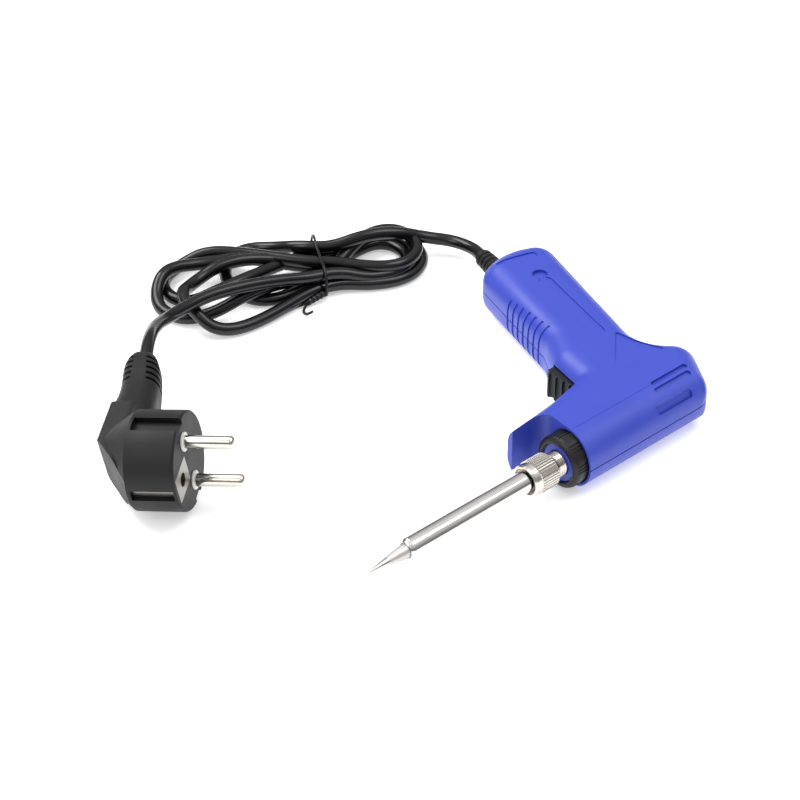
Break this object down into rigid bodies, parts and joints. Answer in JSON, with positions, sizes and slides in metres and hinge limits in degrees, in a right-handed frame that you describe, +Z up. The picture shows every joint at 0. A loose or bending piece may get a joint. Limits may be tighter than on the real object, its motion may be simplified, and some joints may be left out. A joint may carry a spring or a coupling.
{
  "type": "soldering iron",
  "caption": "Pistol-grip mains soldering iron with a boost trigger, bare steel heater tube, conical tip and a tied hank of cord with an angled earthed plug.",
  "frame": {"origin": "on the resting surface, under the middle of the iron without its cord", "axes": "+X along the barrel towards the tip, +Y from the grip towards the barrel, +Z up from the surface the iron lies on, square to the parting plane of the handle"},
  "size_m": [0.2208, 0.2198, 0.039],
  "materials": {
    "blue_plastic": "fine satin",
    "black_plastic": "satin",
    "black_rubber": "matte",
    "cable_sheath": "soft gloss",
    "nickel": "polished",
    "bright_tube": "polished",
    "tip_plating": "satin",
    "steel": "satin",
    "brass": "satin",
    "ceramic": "matte",
    "board": "satin",
    "white_plastic": "satin",
    "brown_insulation": "satin",
    "blue_insulation": "satin",
    "green_insulation": "satin"
  },
  "bodies": {
    "handle": {"upper_shell": "blue_plastic", "lower_shell": "blue_plastic", "housing_screw": "steel", "threaded_stub": "nickel", "ceramic_heater": "ceramic", "heater_holder": "ceramic", "heater_leads": "steel", "terminal_block": "white_plastic", "terminal_screws": "steel", "circuit_board": "board", "board_screws": "steel", "rectifier_diode": "black_plastic", "micro_switch": "black_plastic", "switch_lugs": "brass", "trigger_spring": "steel", "wire_live": "brown_insulation", "wire_neutral": "blue_insulation", "wire_earth": "green_insulation", "wire_switched": "brown_insulation", "cable_tail": "cable_sheath", "cord_clamp": "white_plastic", "clamp_screws": "steel", "strain_relief": "black_rubber", "plug_body": "black_rubber", "plug_pins": "nickel", "pin_insulators": "white_plastic", "earth_contact": "nickel", "cord_relief_to_hank": "cable_sheath", "cord_hank": "cable_sheath", "cord_hank_to_plug": "cable_sheath", "cord_tie": "black_plastic"},
    "trigger": {"trigger": "black_plastic", "switch_plunger": "white_plastic"},
    "sleeve": {"heater_sleeve": "bright_tube", "soldering_tip": "tip_plating"},
    "nut": {"knurled_nut": "nickel"},
    "collar": {"collar_ring": "black_plastic"}
  },
  "joints": [
    {"name": "trigger_press", "type": "slide", "parent": "handle", "child": "trigger", "axis": [-1, 0, 0], "range_m": [0, 0.003], "stiffness_N_per_m": 500, "springref_m": -0.003, "deforming": ["trigger_spring"]},
    {"name": "sleeve_draw", "type": "slide", "parent": "handle", "child": "sleeve", "axis": [1, 0, 0], "range_m": [0, 0.005]},
    {"name": "nut_turn", "type": "hinge", "parent": "sleeve", "child": "nut", "pos_m": [0.0099, 0.04651, 0.0118], "axis": [1, 0, 0], "range_deg": [0, 1800]},
    {"name": "collar_turn", "type": "hinge", "parent": "handle", "child": "collar", "pos_m": [-0.0044, 0.04651, 0.0118], "axis": [1, 0, 0], "range_deg": [0, 360]}
  ],
  "couplings": [
    {"joint": "nut_turn", "follows": "sleeve_draw", "rad_per_m": 6283.2}
  ]
}
